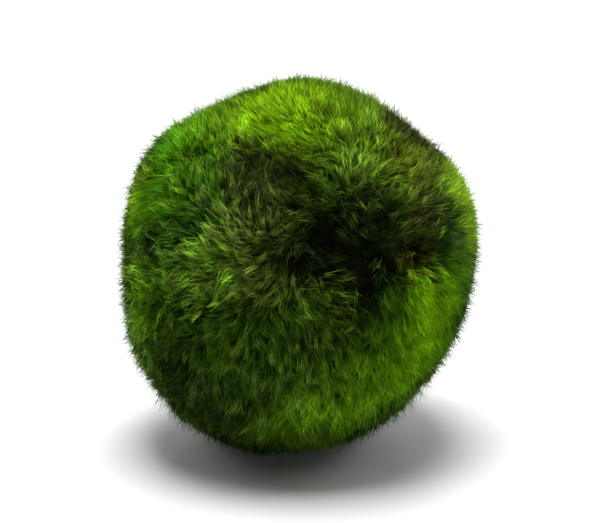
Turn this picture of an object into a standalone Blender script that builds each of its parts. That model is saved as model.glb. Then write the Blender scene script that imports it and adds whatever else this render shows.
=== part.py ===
"""Marimo moss ball: one ball of matted green algae, at rest on the small flat that its weight presses into it.

Metres, +Z up, +X to the right, and -Y faces the viewer. The origin is on the surface that the ball rests on,
under the middle of its outline. A marimo grows as one piece, so it is one solid. The solid reaches the tips
of the pile, because single filaments are far too fine to be solids of their own.
"""

from math import cos, exp, radians, sin

import bmesh
import bpy
from mathutils import Vector, noise

MM = 0.001

# The ball as it would grow with nothing pressing on it.
FREE_RADIUS = 21.5 * MM

# The outline is the one that the ball shows from the front and this far above.
VIEW_TILT = radians(18.0)


def on_outline(angle):
    """Which way the outline faces at an angle in degrees, from the right side round over the crown."""
    turn = radians(angle)
    return Vector((cos(turn), sin(turn) * sin(VIEW_TILT), sin(turn) * cos(VIEW_TILT)))


# Where it has grown fuller, and where its neighbours have pressed it in: which way each place faces, how wide
# it spreads in degrees, and how far the surface stands out in millimetres, or with a minus, in.
SWELLS_AND_DENTS = {
    "right_shoulder": (on_outline(30), 15, 1.0),
    "upper_right_dent": (on_outline(55), 15, -1.0),
    "crown": (on_outline(85), 20, 1.25),
    "crown_dent": (on_outline(115), 15, -0.75),
    "left_shoulder": (on_outline(140), 20, 1.75),
    "left_dent": (on_outline(175), 20, -0.75),
    "lower_left": (on_outline(230), 25, 1.25),
    "lower_right_dent": (on_outline(320), 30, -1.0),
    "right_dent": (on_outline(350), 30, -1.0),
    "front_dent": (Vector((0.1, -1.0, 0.1)), 35, -0.5),
    "back_swell": (Vector((0.5, 0.8, -0.3)), 20, 0.75),
    "back_dent": (Vector((-0.3, 0.9, 0.3)), 30, -0.5),
}

# The foot is cut this far below the ball's middle, and corners this close to the cut are drawn onto it.
FOOT_DEPTH = 20.6 * MM
FOOT_SNAP = 0.3 * MM

# Low mounds where the pile stands in clumps: their spacing and how far they rise or sink.
MOUND_SPACING = 9.0 * MM
MOUND_HEIGHT = 0.35 * MM
TUFT_SPACING = 4.0 * MM
TUFT_HEIGHT = 0.16 * MM

ROUNDS_OF_SPLITTING = 5  # of the icosahedron's faces: 5 rounds give facets about 2 mm wide

MOSS_COLOUR = (0.095, 0.190, 0.010, 1.0)
MOSS_ROUGHNESS = 0.95


def clear_scene():
    """Removes whatever the scene starts with."""
    for obj in list(bpy.data.objects):
        bpy.data.objects.remove(obj, do_unlink=True)


def grown_radius(direction):
    """Distance from the ball's middle to its surface: a sphere with soft swells and dents."""
    radius = FREE_RADIUS
    for facing, spread, height in SWELLS_AND_DENTS.values():
        away = 1.0 - direction.dot(facing.normalized())
        radius += height * MM * exp(-away / radians(spread) ** 2)
    return radius


def pile_relief(point):
    """How far the pile stands above or below the smooth ball at a point."""
    mounds = MOUND_HEIGHT * noise.noise(point / MOUND_SPACING)
    tufts = TUFT_HEIGHT * noise.noise(point / TUFT_SPACING)
    return mounds + tufts


def surface_point(direction):
    """The ball's surface in one direction from its middle."""
    smooth = direction * grown_radius(direction)
    return smooth + direction * pile_relief(smooth)


def cut_foot(mesh):
    """Cuts the ball off flat where it rests, and closes the cut with one face."""
    whole = mesh.verts[:] + mesh.edges[:] + mesh.faces[:]
    cut = bmesh.ops.bisect_plane(
        mesh,
        geom=whole,
        dist=FOOT_SNAP,
        plane_co=(0.0, 0.0, -FOOT_DEPTH),
        plane_no=(0.0, 0.0, -1.0),
        use_snap_center=True,
        clear_outer=True,
    )
    rim = [item for item in cut["geom_cut"] if isinstance(item, bmesh.types.BMEdge)]
    bmesh.ops.contextual_create(mesh, geom=rim)


def set_on_origin(mesh):
    """Moves the ball so that its foot is at height 0 and its outline is centred over the origin."""
    corners = [vert.co for vert in mesh.verts]
    middle_x = (min(c.x for c in corners) + max(c.x for c in corners)) / 2
    middle_y = (min(c.y for c in corners) + max(c.y for c in corners)) / 2
    bmesh.ops.translate(mesh, verts=mesh.verts, vec=(-middle_x, -middle_y, FOOT_DEPTH))


def moss_material():
    """Dull, matt green of a mat of fine filaments."""
    material = bpy.data.materials.new("moss")
    material.use_nodes = True
    shader = material.node_tree.nodes["Principled BSDF"]
    shader.inputs["Base Color"].default_value = MOSS_COLOUR
    shader.inputs["Roughness"].default_value = MOSS_ROUGHNESS
    shader.inputs["Metallic"].default_value = 0.0
    return material


def make_moss_ball():
    """The whole marimo, as one closed solid."""
    mesh = bmesh.new()
    bmesh.ops.create_icosphere(mesh, subdivisions=ROUNDS_OF_SPLITTING, radius=1.0)
    for vert in mesh.verts:
        vert.co = surface_point(vert.co.normalized())
    cut_foot(mesh)
    set_on_origin(mesh)
    bmesh.ops.recalc_face_normals(mesh, faces=mesh.faces)
    data = bpy.data.meshes.new("moss_ball")
    mesh.to_mesh(data)
    mesh.free()
    data.shade_smooth()
    data.materials.append(moss_material())
    ball = bpy.data.objects.new("moss_ball", data)
    bpy.context.scene.collection.objects.link(ball)
    return ball


clear_scene()
make_moss_ball()
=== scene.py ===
"""The looks of the marimo moss ball: a dark matted core, and a combed pile of fine filaments all over it.

Lengths are in metres unless a name or a comment says millimetres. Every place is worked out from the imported
solid, whose surface is where the filaments' tips reach. Features of the ball are placed as they are seen from
the front, by seen(right, up), in shares of the ball's radius.
"""

from math import ceil, cos, pi, radians, sin, sqrt

import bmesh
import bpy
import numpy as np
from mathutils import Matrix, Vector, noise
from mathutils.bvhtree import BVHTree


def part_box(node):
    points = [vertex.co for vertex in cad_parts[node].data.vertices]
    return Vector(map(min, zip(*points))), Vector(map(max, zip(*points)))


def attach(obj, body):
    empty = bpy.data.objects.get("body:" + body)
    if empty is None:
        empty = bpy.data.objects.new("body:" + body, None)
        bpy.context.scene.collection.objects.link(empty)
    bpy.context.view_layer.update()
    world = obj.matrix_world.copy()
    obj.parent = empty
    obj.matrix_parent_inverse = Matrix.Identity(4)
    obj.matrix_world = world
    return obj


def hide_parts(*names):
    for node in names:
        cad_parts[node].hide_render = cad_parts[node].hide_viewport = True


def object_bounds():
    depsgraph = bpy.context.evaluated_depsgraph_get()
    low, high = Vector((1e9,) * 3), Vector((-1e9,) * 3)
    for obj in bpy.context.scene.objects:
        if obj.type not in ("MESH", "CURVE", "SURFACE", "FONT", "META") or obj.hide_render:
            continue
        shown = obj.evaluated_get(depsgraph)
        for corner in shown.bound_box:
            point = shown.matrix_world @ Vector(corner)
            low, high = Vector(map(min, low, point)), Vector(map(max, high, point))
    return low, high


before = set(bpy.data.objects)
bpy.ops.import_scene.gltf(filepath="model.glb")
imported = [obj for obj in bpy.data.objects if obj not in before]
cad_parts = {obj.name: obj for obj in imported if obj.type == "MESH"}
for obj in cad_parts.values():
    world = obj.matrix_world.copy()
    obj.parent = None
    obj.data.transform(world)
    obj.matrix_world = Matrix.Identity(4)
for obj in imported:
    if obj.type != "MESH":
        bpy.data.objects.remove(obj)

MM = 0.001
SOLID = "moss_ball"
CAD_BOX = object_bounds()
TYPICAL_RADIUS = sum(CAD_BOX[1] - CAD_BOX[0]) / 6

# The camera: in front of the ball, looking a little down on it.
CAMERA_ELEVATION = radians(18.0)
CAMERA_DISTANCE = 0.6
BALL_SHARE = 0.70  # of the frame's height
FRAME_WIDTH = 600
FRAME_HEIGHT = 523
SENSOR_WIDTH = 36.0  # millimetres, as Blender has it

# The mat under the pile.
CORE_DEPTH = 1.9 * MM
CORE_SPLITS = 6
CORE_LUMP_SPACING = 2.2 * MM
CORE_LUMP_HEIGHT = 0.45 * MM
CORE_LOWEST = 0.3 * MM  # above the table

# The pile. Filaments stand in tufts, which lean the way the ball has been stroked. Each filament is a thin
# three-sided spindle: a point at its root, a ring where it bends over, and a point at its tip.
TUFTS = 18500
FILAMENTS_PER_TUFT = 8.6
PILE_DEPTH = 2.0 * MM
LEAN_REACH = 1.7 * MM
TUFT_ROOT_SPREAD = 0.33 * MM
TUFT_TIP_SPREAD = 0.17 * MM
TIP_LIFT = 0.3 * MM  # the proudest tips, strays apart, stand this far out of the solid
TIP_SINK = 0.42 * MM
CLUMP_SPACING = 3.6 * MM
CLUMP_SINK = 0.30 * MM
THICKNESS = 0.095 * MM
THICKNESS_VARIES = (0.7, 1.25)
BEND = 0.46  # where along a filament its ring lies
SIDES = 3
LOWEST = 0.02 * MM  # above the table
PILE_SEED = 7

# How the filaments of one tuft differ from each other.
FILAMENT_REACH = (0.8, 1.12)
BOW = 0.16 * MM
RAGGED_TIPS = 0.10 * MM

# How a filament curves: it gains height early and distance late.
ONWARD_POWER = 1.35
RISE_POWER = 1.7

# Strays leave their tuft, stand up and are thin.
STRAY_SHARE = 0.16
STRAY_RISE = 1.3 * MM
STRAY_SPREAD = 0.7 * MM
STRAY_REACH = 0.8
STRAY_THICKNESS = 0.6

# Filaments of one tuft come in this many shades, the last of them for strays. A shade is a number from 0,
# dark, to 1, pale, and these limit it.
SHADES_IN_TUFT = 4
STRAY_SHADE_LEAST = 0.8
STRAY_SHADE_RANGE = 0.2
OTHER_SHADE_MOST = 0.93

# How the tufts differ from each other.
REACH_LEAST = 0.6
REACH_RANGE = 0.6
UNRULY = 0.40
SINK_POWER = 1.5
GATHER = (0.15, 0.6)  # how much of its roots' spread a tuft keeps at its tips
TONE = 0.4
TONE_VARIES = (-0.4, 0.3)
PATCH_JITTER = radians(2.5)
CLUMP_SEED = 31
EVEN_JITTER = 0.9

# Some tufts are longer, paler and tighter, and lie over the rest like strokes of a brush.
PROUD_SHARE = 0.3
PROUD_REACH = 1.22
PROUD_UNRULY = 0.05
PROUD_RISE = 0.75
PROUD_GATHER = 0.5
PROUD_TONE = 0.3
BED_SINK = 0.26 * MM

# The pieces of pile, and which way each faces.
REGIONS = {
    "pile_front": (0, -1, 0),
    "pile_back": (0, 1, 0),
    "pile_left": (-1, 0, 0),
    "pile_right": (1, 0, 0),
    "pile_crown": (0, 0, 1),
    "pile_underside": (0, 0, -1),
}
REGION_BLUR = 0.06

# The table that the ball stands on. Between two distances from the ball it fades to a lit white ground.
FLOOR_RADIUS = 3.0
FLOOR_BRIGHT = 0.72
FLOOR_FADE = (0.13, 0.45)
FLOOR_ROUGHNESS = 0.3

# The light tent's strength where it is brightest and dimmest, and which way its brightest side lies.
TENT_BRIGHT = 0.46
TENT_DIM = 0.01
TENT_BRIGHT_SIDE = (0.0, 0.5, 0.87)
TENT_FADE = (0.2, 0.85)  # as cosines from the brightest side

# The soft boxes: where each is from the ball's middle, its side and its power in watts.
SOFT_BOXES = {
    "top_box": ((-0.02, 0.08, 0.54), 0.34, 5.8),
    "front_box": ((0.06, -0.50, -0.005), 0.24, 0.95),
    "back_left_box": ((-0.30, 0.38, 0.08), 0.3, 1.4),
    "back_right_box": ((0.34, 0.36, 0.08), 0.3, 2.2),
}

# The map for baking the colours has one cell for each shade of each tuft, with a margin around it.
CELL_MARGIN = 0.14


def unit(vectors):
    """Vectors made one long, whether one or a row of them."""
    vectors = np.asarray(vectors, float)
    return vectors / np.linalg.norm(vectors, axis=-1, keepdims=True)


def seen(right, up):
    """The direction of a place on the ball that the camera sees this far right and up, in radii."""
    towards = sqrt(max(0.0, 1.0 - right * right - up * up))
    rise, run = sin(CAMERA_ELEVATION), cos(CAMERA_ELEVATION)
    return unit((right, up * rise - towards * run, up * run + towards * rise))


# The line that the pile parts from in all directions, and how far from it the pile lies down fully.
CROWN_LINE = [seen(-0.06 + 0.62 * step / 12, 0.04 + 0.17 * sin(pi * step / 14)) for step in range(13)]
CROWN_CALM = radians(20.0)
CROWN_FADE = (radians(75.0), radians(140.0))
CROWN_FADE_SHARE = 0.8

# What else sways the pile: its own weight, more so below, and swirls and ruffles.
DOWN = 0.12
DOWN_BELOW = 0.4
SWIRL = 0.42
SWIRL_BEHIND = 1.2
SWIRL_SPACING = 15 * MM
SWIRL_SEEDS = (11, 12, 13)
RUFFLE = 0.36
RUFFLE_SPACING = 5 * MM
RUFFLE_SEEDS = (21, 22, 23)
LEAN_LIMITS = (0.25, 1.1)

# Short creases, where the pile falls away to both sides.
CREASES = (
    (seen(-0.90, 0.40), seen(-0.42, 0.66)),
    (seen(-0.97, 0.0), seen(-0.92, 0.22)),
)
CREASE_WIDTH = radians(4.5)
CREASE_END = radians(4.0)
CREASE_SINK = 0.7 * MM
CREASE_FALL = 1.3
CREASE_FALL_END = radians(5.0)

# Where the pile lies smooth: which way each place faces, and how many degrees it reaches.
SMOOTH_PLACES = (
    (seen(-0.05, 0.95), 28),
    (seen(0.80, -0.30), 26),
    (seen(0.98, 0.20), 20),
    (seen(-0.85, 0.42), 16),
)

# What changes there: the comb's ruffle and the tufts' unevenness are taken away by these shares, the tufts keep
# this much more of their roots' spread, and the filaments' shades come together by this share.
SMOOTH_COMB = 0.6
SMOOTH_CALM = 0.65
SMOOTH_GATHER = 0.35
SMOOTH_SHADES = 0.6


class Envelope:
    """The solid's surface, as a distance from the ball's middle in any direction."""

    def __init__(self, node):
        lowest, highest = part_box(node)
        self.middle = np.array((lowest + highest) / 2)
        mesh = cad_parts[node].data
        corners = [vert.co.copy() for vert in mesh.vertices]
        self.tree = BVHTree.FromPolygons(corners, [tuple(face.vertices) for face in mesh.polygons])

    def radius(self, directions):
        """Distances to the surface, in the directions given."""
        start = Vector(self.middle)
        found = [self.tree.ray_cast(start, Vector(way))[3] for way in directions.reshape(-1, 3)]
        found = [TYPICAL_RADIUS if distance is None else distance for distance in found]
        return np.array(found).reshape(directions.shape[:-1])

    def place(self, directions, depths):
        """Points this deep under the surface, in the directions given."""
        return self.middle + directions * (self.radius(directions) - depths)[..., None]


WAVES = 14
WAVE_LENGTHS = (0.7, 1.5)
WAVE_HEIGHT = 1.4


def waves(points, spacing, seed):
    """Smooth bumpy values from about -1 to 1 over points, from seeded plane waves."""
    rng = np.random.default_rng(seed)
    ways = unit(rng.normal(size=(WAVES, 3)))
    lengths = spacing * rng.uniform(*WAVE_LENGTHS, WAVES)
    phases = rng.uniform(0, 2 * pi, WAVES)
    turns = points @ (ways * (2 * pi / lengths)[:, None]).T + phases
    return np.sin(turns).sum(-1) * (WAVE_HEIGHT / sqrt(WAVES))


def along_surface(vectors, directions):
    """What is left of vectors once the part along each direction is taken away."""
    return vectors - directions * (vectors * directions).sum(-1, keepdims=True)


def creases(directions):
    """How near each direction is to a crease, from 0 to 1, and which way the pile falls from it."""
    near = np.zeros(len(directions))
    fall = np.zeros_like(directions)
    for start, end in CREASES:
        across = unit(np.cross(start, end))
        middle = unit(start + end)
        half = np.arccos(np.clip(start @ end, -1, 1)) / 2
        off = directions @ across
        along = np.arccos(np.clip(unit(directions - off[:, None] * across) @ middle, -1, 1))
        share = np.exp(-((off / CREASE_WIDTH) ** 2)) / (1 + np.exp((along - half) / CREASE_END))
        near = np.maximum(near, share)
        wide = np.exp(-((off / (2 * CREASE_WIDTH)) ** 2)) / (1 + np.exp((along - half) / CREASE_FALL_END))
        fall += across * (np.sign(off) * wide)[:, None]
    return near, fall


def smoothness(directions):
    """How smooth the pile lies in each direction, from 0 to 1."""
    smooth = np.zeros(len(directions))
    for facing, reach in SMOOTH_PLACES:
        away = np.arccos(np.clip(directions @ facing, -1, 1))
        smooth = np.maximum(smooth, np.exp(-((away / radians(reach)) ** 2)))
    return smooth


def comb(directions):
    """The way the pile leans at each direction: a vector along the surface, up to about 1 long."""
    line = np.array(CROWN_LINE)
    towards = directions @ line.T
    nearest = line[towards.argmax(1)]
    away = along_surface(-nearest, directions)
    angle = np.arccos(np.clip(towards.max(1), -1, 1))
    rise = np.clip(angle / CROWN_CALM, 0.0, 1.0)
    start, end = CROWN_FADE
    behind = np.clip((angle - start) / (end - start), 0.0, 1.0)
    length = np.maximum(np.linalg.norm(away, axis=1), 0.15)  # kept off 0 on the line itself
    away *= (rise * (1 - CROWN_FADE_SHARE * behind) / length)[:, None]
    below = np.clip(-directions[:, 2], 0, 1)
    down = along_surface(np.array((0.0, 0.0, -1.0)), directions) * (DOWN + DOWN_BELOW * below)[:, None]
    place = directions * TYPICAL_RADIUS
    swirl = np.stack([waves(place, SWIRL_SPACING, seed) for seed in SWIRL_SEEDS], 1)
    swirl = swirl * (1 + SWIRL_BEHIND * behind)[:, None]
    ruffle = np.stack([waves(place, RUFFLE_SPACING, seed) for seed in RUFFLE_SEEDS], 1)
    rough = (1 - SMOOTH_COMB * smoothness(directions))[:, None]
    lean = away + down + SWIRL * swirl + RUFFLE * ruffle * rough + CREASE_FALL * creases(directions)[1]
    lean = along_surface(lean, directions)
    size = np.linalg.norm(lean, axis=1, keepdims=True)
    return lean / np.maximum(size, 1e-9) * np.clip(size, *LEAN_LIMITS)


def spread_evenly(count, rng):
    """Directions all round, about evenly apart, none in a visible row."""
    step = np.arange(count) + 0.5
    height = 1 - 2 * step / count
    turn = step * pi * (3 - sqrt(5))
    ring = np.sqrt(1 - height * height)
    even = np.stack([ring * np.cos(turn), ring * np.sin(turn), height], 1)
    return unit(even + rng.normal(0, EVEN_JITTER / sqrt(count), even.shape))


def grow_tufts(rng):
    """One row for each tuft: where it stands, how it leans, how deep its tips sink and what it looks like."""
    facing = spread_evenly(TUFTS, rng)
    place = facing * TYPICAL_RADIUS
    smooth = smoothness(facing)
    rough = 1 - SMOOTH_CALM * smooth
    proud = (rng.uniform(size=TUFTS) < PROUD_SHARE) * rough
    lean = comb(facing)
    unruly = (UNRULY + PROUD_UNRULY * proud) * rough
    lean = along_surface(lean + rng.normal(0, 1, lean.shape) * unruly[:, None], facing)
    clump = waves(place, CLUMP_SPACING, CLUMP_SEED)
    sink = TIP_SINK * rng.uniform(0, 1, TUFTS) ** SINK_POWER + CLUMP_SINK * (1 - clump).clip(0, 2) / 2
    sink = (sink * (1 - PROUD_RISE * proud) + BED_SINK * (1 - proud)) * rough
    sink = sink + creases(facing)[0] * CREASE_SINK
    scores = facing @ unit(list(REGIONS.values())).T + rng.normal(0, REGION_BLUR, (TUFTS, len(REGIONS)))
    longer = 1 + (PROUD_REACH - 1) * proud
    return {
        "facing": facing,
        "forward": unit(lean),
        "reach": LEAN_REACH * (REACH_LEAST + REACH_RANGE * rng.uniform(size=TUFTS)) * longer,
        "sink": sink,
        "gather": rng.uniform(*GATHER, TUFTS) * (1 - PROUD_GATHER * proud) + SMOOTH_GATHER * smooth,
        "tone": TONE + rng.uniform(*TONE_VARIES, TUFTS) * rough + PROUD_TONE * proud,
        "shades": rng.uniform(0, 1, (TUFTS, SHADES_IN_TUFT)),
        "smooth": smooth,
        "way": unit(facing + rng.normal(0, 1, facing.shape) * (PATCH_JITTER * (1 + proud))[:, None]),
        "region": scores.argmax(1),
    }


def grow_filaments(tufts, envelope, rng):
    """Centre lines of all the filaments, as points from root to tip, with each one's tuft and shade."""
    whole = int(FILAMENTS_PER_TUFT)
    counts = whole + (rng.uniform(size=TUFTS) < FILAMENTS_PER_TUFT - whole)
    tuft = np.repeat(np.arange(TUFTS), counts)
    total = len(tuft)
    facing, forward = tufts["facing"][tuft], tufts["forward"][tuft]
    side = np.cross(facing, forward)

    stray = rng.uniform(size=total) < STRAY_SHARE
    shade = rng.integers(0, SHADES_IN_TUFT - 1, total)
    shade[stray] = SHADES_IN_TUFT - 1
    root = rng.normal(0, TUFT_ROOT_SPREAD, (total, 2))
    tip = root * tufts["gather"][tuft, None] + rng.normal(0, TUFT_TIP_SPREAD, (total, 2))
    tip[stray] += rng.normal(0, STRAY_SPREAD, (stray.sum(), 2))
    reach = tufts["reach"][tuft] * rng.uniform(*FILAMENT_REACH, total)
    reach[stray] *= STRAY_REACH
    bow = rng.normal(0, BOW, total)
    sink = tufts["sink"][tuft] + rng.exponential(RAGGED_TIPS, total)
    sink[stray] = -STRAY_RISE * rng.uniform(0.0, 1.0, stray.sum()) ** 2

    steps = np.array((0.0, BEND, 1.0))
    onward = steps**ONWARD_POWER
    risen = 1 - (1 - steps) ** RISE_POWER
    ahead = root[:, :1] + (reach + tip[:, 0] - root[:, 0])[:, None] * onward
    aside = root[:, 1:] + (tip[:, 1] - root[:, 1])[:, None] * onward + bow[:, None] * 4 * steps * (1 - steps)
    across = forward[:, None] * ahead[..., None] + side[:, None] * aside[..., None]
    depth = PILE_DEPTH * (1 - risen) + (sink - TIP_LIFT)[:, None] * steps
    points = envelope.place(unit(facing[:, None] + across / TYPICAL_RADIUS), depth)
    return points, tuft, shade


NO_FILAMENTS_WAY = np.array((0.31, 0.52, 0.79))  # a direction that no filament happens to lie along


def spindle_corners(points, thickness, rng):
    """The corners of every filament: its root, a triangle round its bend, and its tip."""
    ahead = unit(points[:, 2] - points[:, 0])
    side = unit(np.cross(ahead, NO_FILAMENTS_WAY))
    up = np.cross(side, ahead)
    spin = rng.uniform(0, 2 * pi, len(points))
    corners = [points[:, 0]]
    for corner in range(SIDES):
        turn = spin + corner * 2 * pi / SIDES
        out = side * np.cos(turn)[:, None] + up * np.sin(turn)[:, None]
        corners.append(points[:, 1] + out * thickness[:, None] / 2)
    corners.append(points[:, 2])
    return np.stack(corners, 1)


def spindle_faces():
    """The triangles of one filament, each with its corners' places in its cell of the map, from 0 to 1."""
    faces = []
    places = []
    tip = SIDES + 1
    for corner in range(SIDES):
        left = 1 + corner
        right = 1 + (corner + 1) % SIDES
        faces += [(0, right, left), (left, right, tip)]
        places += [((0.5, 0), (1, BEND), (0, BEND)), ((0, BEND), (1, BEND), (0.5, 1))]
    return np.array(faces), np.array(places, float)


def mesh_piece(name, corners, triangles):
    """A new object from rows of corners and triangles."""
    mesh = bpy.data.meshes.new(name)
    mesh.vertices.add(len(corners))
    mesh.vertices.foreach_set("co", corners.astype(np.float32).ravel())
    mesh.loops.add(triangles.size)
    mesh.loops.foreach_set("vertex_index", triangles.astype(np.int32).ravel())
    mesh.polygons.add(len(triangles))
    mesh.polygons.foreach_set("loop_start", np.arange(0, triangles.size, 3, dtype=np.int32))
    mesh.update(calc_edges=True)
    mesh.validate()
    mesh.shade_smooth()
    piece = bpy.data.objects.new(name, mesh)
    bpy.context.scene.collection.objects.link(piece)
    return piece


def give_values(piece, name, values):
    """A number or a vector for each corner, which the materials read by name."""
    kind, field = ("FLOAT", "value") if values.ndim == 1 else ("FLOAT_VECTOR", "vector")
    attribute = piece.data.attributes.new(name, kind, "POINT")
    attribute.data.foreach_set(field, values.astype(np.float32).ravel())


def pile_piece(name, points, tuft, shade, tufts, rng):
    """All the filaments of one region, joined in one mesh."""
    total = len(points)
    stray = shade == SHADES_IN_TUFT - 1
    thickness = THICKNESS * rng.uniform(*THICKNESS_VARIES, total) * np.where(stray, STRAY_THICKNESS, 1.0)
    corners = spindle_corners(points, thickness, rng)
    per_filament = corners.shape[1]
    corners = corners.reshape(-1, 3)
    corners[:, 2] = corners[:, 2].clip(LOWEST)
    faces, places = spindle_faces()
    triangles = (faces[None] + (np.arange(total) * per_filament)[:, None, None]).reshape(-1, 3)
    piece = mesh_piece(name, corners, triangles)

    strand = tufts["shades"][tuft, shade]
    strand = np.where(stray, STRAY_SHADE_LEAST + STRAY_SHADE_RANGE * strand, OTHER_SHADE_MOST * strand)
    strand += (0.5 - strand) * SMOOTH_SHADES * tufts["smooth"][tuft]
    give_values(piece, "along", np.tile((0.0,) + (BEND,) * SIDES + (1.0,), total))
    give_values(piece, "strand", np.repeat(strand, per_filament))
    give_values(piece, "tuft", np.repeat(tufts["tone"][tuft], per_filament))
    give_values(piece, "way", np.repeat(tufts["way"][tuft], per_filament, axis=0))

    rank = np.unique(tuft, return_inverse=True)[1]
    cell = rank * SHADES_IN_TUFT + shade
    columns = ceil(sqrt(cell.max() + 1))
    corner = np.stack([cell % columns, cell // columns], 1)
    inside = CELL_MARGIN + places * (1 - 2 * CELL_MARGIN)
    where = (corner[:, None, None, :] + inside[None]) / columns
    layer = piece.data.uv_layers.new(name="OFBake")
    layer.data.foreach_set("uv", where.astype(np.float32).ravel())
    return piece


def core_piece(envelope):
    """The matted felt that the filaments stand in."""
    mesh = bmesh.new()
    bmesh.ops.create_icosphere(mesh, subdivisions=CORE_SPLITS, radius=1.0)
    ways = unit([vert.co for vert in mesh.verts])
    lumps = [noise.noise(Vector(way) * TYPICAL_RADIUS / CORE_LUMP_SPACING) for way in ways]
    depth = CORE_DEPTH - CORE_LUMP_HEIGHT * np.array(lumps)
    points = envelope.place(ways, depth + 0.5 * CREASE_SINK * creases(ways)[0])
    points[:, 2] = points[:, 2].clip(CORE_LOWEST)
    for vert, point in zip(mesh.verts, points):
        vert.co = point
    data = bpy.data.meshes.new("matted_core")
    mesh.to_mesh(data)
    mesh.free()
    data.shade_smooth()
    piece = bpy.data.objects.new("matted_core", data)
    bpy.context.scene.collection.objects.link(piece)
    return piece


class Shading:
    """A new material, and short ways to add nodes to it."""

    def __init__(self, name):
        self.material = bpy.data.materials.new(name)
        self.material.use_nodes = True
        self.tree = self.material.node_tree
        self.tree.nodes.clear()

    def node(self, kind, inputs=(), **settings):
        """A node with its settings, and with each input given as a value or as another node's output."""
        made = self.tree.nodes.new(kind)
        for key, value in settings.items():
            setattr(made, key, value)
        for socket, value in dict(inputs).items():
            if isinstance(value, bpy.types.NodeSocket):
                self.tree.links.new(value, made.inputs[socket])
            else:
                made.inputs[socket].default_value = value
        return made

    def value(self, name):
        """The number that the mesh holds under this name."""
        return self.node("ShaderNodeAttribute", attribute_name=name).outputs["Fac"]

    def times(self, a, b):
        """The product of two numbers."""
        return self.node("ShaderNodeMath", {0: a, 1: b}, operation="MULTIPLY").outputs[0]

    def vector(self, operation, a, b=(0.0, 0.0, 0.0)):
        """Arithmetic on vectors."""
        return self.node("ShaderNodeVectorMath", {0: a, 1: b}, operation=operation).outputs[0]

    def scaled(self, vector, scale):
        """A vector or a colour times a number."""
        inputs = {0: vector, "Scale": scale}
        return self.node("ShaderNodeVectorMath", inputs, operation="SCALE").outputs[0]

    def ramp(self, value, low, high, out_low=0.0, out_high=1.0):
        """A smooth step from out_low to out_high as value goes from low to high."""
        ends = {"From Min": low, "From Max": high, "To Min": out_low, "To Max": out_high, "Value": value}
        return self.node("ShaderNodeMapRange", ends, interpolation_type="SMOOTHSTEP").outputs[0]

    def mix(self, share, under, over):
        """One colour laid over another."""
        return self.node("ShaderNodeMix", {0: share, 6: under, 7: over}, data_type="RGBA").outputs[2]

    def clouds(self, position, spacing, detail=2.0):
        """Soft noise, from 0 to 1, as a number under Fac and a vector under Color."""
        inputs = {"Vector": position, "Scale": 1 / spacing, "Detail": detail}
        return self.node("ShaderNodeTexNoise", inputs).outputs


def rgb(red, green, blue):
    """An opaque colour, in linear values."""
    return (red, green, blue, 1.0)


LIME = rgb(0.265, 0.550, 0.003)
GOLDEN_LIME = rgb(0.258, 0.470, 0.004)
# a pale lime that paints rim light onto the ball's edges
RIM_LIGHT_LIME = rgb(0.330, 0.540, 0.016)
FRESH_GREEN = rgb(0.152, 0.330, 0.003)
YELLOW_GREEN = rgb(0.104, 0.205, 0.003)
BRIGHT_GREEN = rgb(0.112, 0.330, 0.002)
LEAF_GREEN = rgb(0.022, 0.120, 0.002)
GREEN = rgb(0.056, 0.160, 0.003)
DEEP_GREEN = rgb(0.014, 0.048, 0.002)
PALE_OLIVE = rgb(0.268, 0.480, 0.034)
GREY_OLIVE = rgb(0.140, 0.210, 0.028)
YELLOW_OLIVE = rgb(0.140, 0.210, 0.002)
OLIVE = rgb(0.024, 0.037, 0.005)
# near-black: dark filaments, with painted shade where the pile parts and looks into its depth
WHORL_DARK_AND_SHADE = rgb(0.006, 0.010, 0.003)
DARK_BROWN = rgb(0.042, 0.028, 0.005)
BROWN = rgb(0.018, 0.012, 0.004)
TAN = rgb(0.110, 0.078, 0.010)
PALE_STRAND = rgb(0.330, 0.390, 0.090)
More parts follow.
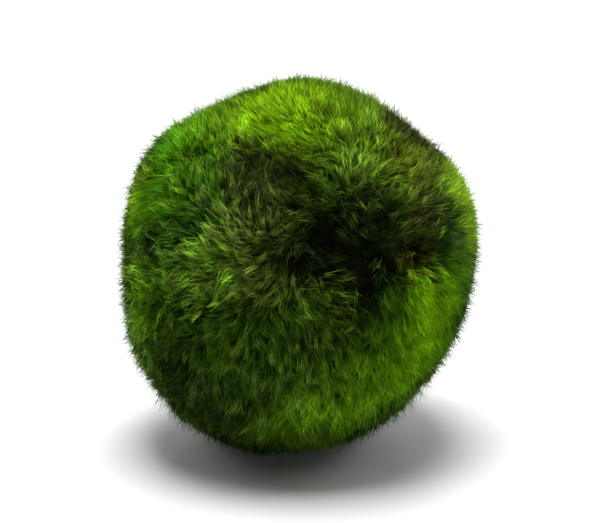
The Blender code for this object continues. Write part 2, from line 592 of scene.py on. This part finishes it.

# Patches of colour, laid one over another: where each is, how many degrees it reaches fully and at all, its
# colour and its share of the colour there.
# Among them are painted rim light on the edges, and painted shade where the pile parts, in a crease and in a
# notch.
PATCHES = (
    # the back and the underside
    ((0.1, 0.9, 0.3), 40, 90, YELLOW_GREEN, 0.60),
    ((-0.5, 0.8, 0.35), 12, 30, FRESH_GREEN, 0.60),
    ((0.45, 0.85, -0.15), 10, 28, DEEP_GREEN, 0.70),
    ((-0.25, 0.9, -0.35), 8, 24, YELLOW_OLIVE, 0.60),
    # the lower half of the front
    (seen(-0.38, -0.44), 8, 22, GREEN, 0.95),
    (seen(-0.58, -0.28), 6, 13, DEEP_GREEN, 0.98),
    (seen(-0.54, -0.72), 10, 20, DEEP_GREEN, 0.95),
    (seen(-0.74, -0.46), 4, 11, DEEP_GREEN, 0.80),
    (seen(-0.38, -0.42), 3, 9, YELLOW_GREEN, 0.55),
    (seen(0.12, -0.41), 4, 10, YELLOW_GREEN, 0.55),
    (seen(-0.14, -0.77), 3, 9, YELLOW_GREEN, 0.60),
    (seen(-0.18, -0.58), 5, 14, DEEP_GREEN, 0.60),
    (seen(0.04, -0.88), 13, 25, FRESH_GREEN, 0.58),
    (seen(0.26, -0.75), 8, 20, LIME, 0.50),
    (seen(0.58, -0.56), 13, 23, FRESH_GREEN, 0.92),
    (seen(0.74, -0.24), 9, 17, LIME, 0.95),
    (seen(0.30, -0.20), 5, 13, DEEP_GREEN, 0.90),
    (seen(0.06, -0.14), 4, 10, PALE_OLIVE, 0.75),
    (seen(-0.24, -0.08), 6, 13, GREY_OLIVE, 0.90),
    # the left side
    (seen(-0.86, -0.14), 8, 17, FRESH_GREEN, 0.90),
    (seen(-0.76, 0.12), 7, 15, LEAF_GREEN, 0.90),
    (seen(-0.80, 0.37), 9, 18, BRIGHT_GREEN, 0.95),
    (seen(-0.60, 0.66), 8, 20, BRIGHT_GREEN, 0.90),
    # darker green along the crease: painted shade where the pile falls away
    (seen(-0.62, 0.50), 2, 7, LEAF_GREEN, 0.90),
    (seen(-0.58, -0.06), 4, 9, PALE_OLIVE, 0.70),
    (seen(-0.47, -0.02), 5, 12, PALE_OLIVE, 0.95),
    (seen(-0.26, 0.21), 7, 16, GREY_OLIVE, 0.80),
    (seen(-0.56, 0.17), 5, 10, LEAF_GREEN, 0.97),
    # painted rim light on the left edge
    (seen(-0.90, 0.37), 4, 10, RIM_LIGHT_LIME, 0.65),
    (seen(-0.88, -0.36), 4, 10, PALE_OLIVE, 0.55),
    # a near-black notch at the left edge: a short parting, with painted shade
    (seen(-0.83, 0.10), 5, 9, WHORL_DARK_AND_SHADE, 0.98),
    # the crown
    (seen(-0.38, 0.80), 8, 18, YELLOW_GREEN, 0.80),
    (seen(-0.04, 0.80), 13, 23, GOLDEN_LIME, 0.95),
    (seen(0.34, 0.86), 9, 19, YELLOW_GREEN, 0.85),
    (seen(0.50, 0.58), 9, 20, YELLOW_GREEN, 0.75),
    (seen(0.63, 0.73), 8, 16, BROWN, 0.98),
    # the right side, with painted rim light along its edge
    (seen(0.92, 0.34), 8, 17, RIM_LIGHT_LIME, 0.78),
    (seen(0.60, 0.55), 7, 14, YELLOW_OLIVE, 0.98),
    (seen(0.67, 0.29), 4, 11, DARK_BROWN, 0.85),
    (seen(0.75, 0.15), 4, 11, OLIVE, 0.85),
    (seen(0.63, -0.02), 3, 8, TAN, 0.80),
    # round the parting, where the near-black patches are dark filaments with painted shade where the pile opens
    (seen(-0.29, 0.46), 9, 17, OLIVE, 0.90),
    (seen(-0.02, 0.40), 6, 14, OLIVE, 0.60),
    (seen(0.30, 0.49), 5, 10, PALE_OLIVE, 0.98),
    (seen(0.38, 0.29), 6, 12, WHORL_DARK_AND_SHADE, 0.70),
    (seen(0.33, 0.00), 9, 16, WHORL_DARK_AND_SHADE, 0.96),
    (seen(0.15, 0.20), 5, 10, WHORL_DARK_AND_SHADE, 0.92),
    (seen(0.05, 0.01), 6, 11, WHORL_DARK_AND_SHADE, 0.97),
)


# The patches' ragged edges, the mottle under them, and the lighter and darker blotches over them.
RAGGED_SPACING = 3.0 * MM
RAGGED_SHIFT = 0.3
MOTTLE_SPACING = 7.0 * MM
BLOTCH_SPACING = 2.6 * MM

FILAMENT_ROUGHNESS = 0.6
FILAMENT_THROUGH = 0.48  # the share of light that comes through a filament
FELT_SPACING = 0.5 * MM
FELT_ROUGHNESS = 0.9


def patch_colours(shading, way):
    """The ball's colours from place to place, with painted rim light and painted shade among them: soft patches
    with ragged edges.
    """
    ragged = shading.clouds(way, RAGGED_SPACING / TYPICAL_RADIUS)["Color"]
    shift = shading.scaled(shading.vector("SUBTRACT", ragged, (0.5, 0.5, 0.5)), RAGGED_SHIFT)
    moved = shading.vector("NORMALIZE", shading.vector("ADD", way, shift))
    mottle = shading.clouds(way, MOTTLE_SPACING / TYPICAL_RADIUS, 3.0)["Fac"]
    colour = shading.mix(shading.ramp(mottle, 0.38, 0.66), DEEP_GREEN, GREEN)
    for facing, full, gone, tint, share in PATCHES:
        inputs = {0: moved, 1: tuple(unit(facing))}
        cosine = shading.node("ShaderNodeVectorMath", inputs, operation="DOT_PRODUCT").outputs["Value"]
        near = shading.ramp(cosine, cos(radians(gone)), cos(radians(full)), 0.0, share)
        colour = shading.mix(near, colour, tint)
    return colour


def pile_material():
    """Filaments: dark at the root, partly as painted shade, bright at the tip, no two quite alike, and lit
    through from behind.
    """
    shading = Shading("pile")
    along, strand, tuft = shading.value("along"), shading.value("strand"), shading.value("tuft")
    way = shading.node("ShaderNodeAttribute", attribute_name="way").outputs["Vector"]
    colour = patch_colours(shading, way)
    tips = shading.ramp(along, 0.3, 0.9)
    green = shading.node("ShaderNodeVectorMath", {0: colour, 1: (0.0, 1.0, 0.0)}, operation="DOT_PRODUCT")
    pale = shading.scaled(PALE_STRAND[:3], shading.ramp(green.outputs["Value"], 0.0, 0.12, 0.12, 1.0))
    colour = shading.mix(shading.times(shading.ramp(tuft, 0.55, 1.0, 0.0, 0.25), tips), colour, pale)
    # Strays and the palest strands get pale tips here and more brightness below: partly their own colour,
    # partly painted light where the fuzz stands against the white ground.
    colour = shading.mix(shading.times(shading.ramp(strand, 0.80, 0.98, 0.0, 0.40), tips), colour, pale)
    # Darker towards the root and brighter at the tip: partly the filaments' own colour, partly painted shade
    # deep in the pile.
    bright = shading.times(shading.ramp(along, 0.05, 0.95, 0.16, 1.25), shading.ramp(tuft, 0, 1, 0.55, 1.8))
    bright = shading.times(bright, shading.ramp(strand, 0, 1, 0.7, 1.4))
    blotches = shading.clouds(way, BLOTCH_SPACING / TYPICAL_RADIUS, 3.0)["Fac"]
    bright = shading.times(bright, shading.ramp(blotches, 0.36, 0.64, 0.55, 1.5))
    colour = shading.scaled(colour, bright)
    inputs = {"Base Color": colour, "Roughness": FILAMENT_ROUGHNESS}
    surface = shading.node("ShaderNodeBsdfPrincipled", inputs)
    surface.inputs["Specular IOR Level"].default_value = 0.03
    through = shading.node("ShaderNodeBsdfTranslucent", {"Color": colour})
    sides = {0: FILAMENT_THROUGH, 1: surface.outputs[0], 2: through.outputs[0]}
    both = shading.node("ShaderNodeMixShader", sides)
    shading.node("ShaderNodeOutputMaterial", {"Surface": both.outputs[0]})
    return shading.material


def core_material(middle):
    """Matted roots: nearly black green felt, partly of its own colour and partly as painted shade under the
    pile.
    """
    shading = Shading("matted_core")
    position = shading.node("ShaderNodeTexCoord").outputs["Object"]
    way = shading.vector("NORMALIZE", shading.vector("SUBTRACT", position, tuple(middle)))
    fibres = shading.clouds(position, FELT_SPACING, 4.0)["Fac"]
    # the felt's darkness is partly its own and partly painted shade under the pile
    colour = shading.scaled(patch_colours(shading, way), shading.ramp(fibres, 0.3, 0.7, 0.06, 0.28))
    bump = shading.node("ShaderNodeBump", {"Height": fibres, "Strength": 0.8, "Distance": 0.2 * MM})
    inputs = {"Base Color": colour, "Roughness": FELT_ROUGHNESS, "Normal": bump.outputs[0]}
    surface = shading.node("ShaderNodeBsdfPrincipled", inputs)
    surface.inputs["Specular IOR Level"].default_value = 0.1
    shading.node("ShaderNodeOutputMaterial", {"Surface": surface.outputs[0]})
    return shading.material


def floor():
    """A wide, pale, faintly glossy table, which fades to a lit white ground far from the ball."""
    mesh = bmesh.new()
    bmesh.ops.create_circle(mesh, cap_ends=True, segments=96, radius=FLOOR_RADIUS)
    data = bpy.data.meshes.new("floor")
    mesh.to_mesh(data)
    mesh.free()
    piece = bpy.data.objects.new("floor", data)
    bpy.context.scene.collection.objects.link(piece)
    shading = Shading("floor")
    position = shading.node("ShaderNodeTexCoord").outputs["Object"]
    away = shading.node("ShaderNodeVectorMath", {0: position}, operation="LENGTH").outputs["Value"]
    near, far = FLOOR_FADE
    inputs = {
        "Base Color": rgb(FLOOR_BRIGHT, FLOOR_BRIGHT, FLOOR_BRIGHT),
        "Roughness": FLOOR_ROUGHNESS,
        "Emission Color": rgb(1.0, 1.0, 1.0),
        "Emission Strength": shading.ramp(away, near, far),
    }
    surface = shading.node("ShaderNodeBsdfPrincipled", inputs)
    shading.node("ShaderNodeOutputMaterial", {"Surface": surface.outputs[0]})
    data.materials.append(shading.material)


def area_light(name, place, target, size, power):
    """A square soft box, aimed at a point."""
    data = bpy.data.lights.new(name, "AREA")
    data.size = size
    data.energy = power
    lamp = bpy.data.objects.new(name, data)
    lamp.location = place
    lamp.rotation_euler = (Vector(target) - Vector(place)).to_track_quat("-Z", "Y").to_euler()
    bpy.context.scene.collection.objects.link(lamp)


def light_tent():
    """A world that is white to the camera, and lights the ball from above and behind."""
    world = bpy.data.worlds.new("tent")
    world.use_nodes = True
    tree = world.node_tree
    tree.nodes.clear()
    way = tree.nodes.new("ShaderNodeTexCoord").outputs["Generated"]
    towards = tree.nodes.new("ShaderNodeVectorMath")
    towards.operation = "DOT_PRODUCT"
    towards.inputs[1].default_value = unit(TENT_BRIGHT_SIDE)
    tree.links.new(way, towards.inputs[0])
    strength = tree.nodes.new("ShaderNodeMapRange")
    strength.interpolation_type = "SMOOTHSTEP"
    dimmest, brightest = TENT_FADE
    ends = {"From Min": dimmest, "From Max": brightest, "To Min": TENT_DIM, "To Max": TENT_BRIGHT}
    for name, value in ends.items():
        strength.inputs[name].default_value = value
    tree.links.new(towards.outputs["Value"], strength.inputs["Value"])
    cast = tree.nodes.new("ShaderNodeBackground")
    tree.links.new(strength.outputs[0], cast.inputs["Strength"])
    shown = tree.nodes.new("ShaderNodeBackground")
    for background in (shown, cast):
        background.inputs["Color"].default_value = rgb(1.0, 1.0, 1.0)
    path = tree.nodes.new("ShaderNodeLightPath")
    either = tree.nodes.new("ShaderNodeMixShader")
    tree.links.new(path.outputs["Is Camera Ray"], either.inputs[0])
    tree.links.new(cast.outputs[0], either.inputs[1])
    tree.links.new(shown.outputs[0], either.inputs[2])
    out = tree.nodes.new("ShaderNodeOutputWorld")
    tree.links.new(either.outputs[0], out.inputs["Surface"])
    bpy.context.scene.world = world


def lighting(middle):
    """The tent, a box overhead that draws the tufts, one low in front to fill, and two behind for rims."""
    light_tent()
    for name, (away, size, power) in SOFT_BOXES.items():
        area_light(name, middle + np.array(away), middle, size, power)


def camera(middle, height):
    """The camera, with the ball's height filling its share of the frame."""
    data = bpy.data.cameras.new("camera")
    data.sensor_width = SENSOR_WIDTH
    frame_width = height / BALL_SHARE * FRAME_WIDTH / FRAME_HEIGHT
    data.lens = SENSOR_WIDTH * CAMERA_DISTANCE / frame_width
    piece = bpy.data.objects.new("camera", data)
    back = Vector((0.0, -cos(CAMERA_ELEVATION), sin(CAMERA_ELEVATION)))
    piece.location = Vector(middle) + back * CAMERA_DISTANCE
    piece.rotation_euler = (-back).to_track_quat("-Z", "Y").to_euler()
    bpy.context.scene.collection.objects.link(piece)
    bpy.context.scene.camera = piece


def main():
    """The ball, the table, the light and the camera."""
    envelope = Envelope(SOLID)
    rng = np.random.default_rng(PILE_SEED)

    core = core_piece(envelope)
    core.data.materials.append(core_material(envelope.middle))
    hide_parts(SOLID)
    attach(core, "root")

    pile = pile_material()
    tufts = grow_tufts(rng)
    points, tuft, shade = grow_filaments(tufts, envelope, rng)
    for number, name in enumerate(REGIONS):
        here = tufts["region"][tuft] == number
        piece = pile_piece(name, points[here], tuft[here], shade[here], tufts, rng)
        piece.data.materials.append(pile)
        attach(piece, "root")

    floor()
    lighting(envelope.middle)
    lowest, highest = CAD_BOX
    camera(envelope.middle, highest.z - lowest.z)
    bpy.context.scene.view_settings.view_transform = "Standard"


main()
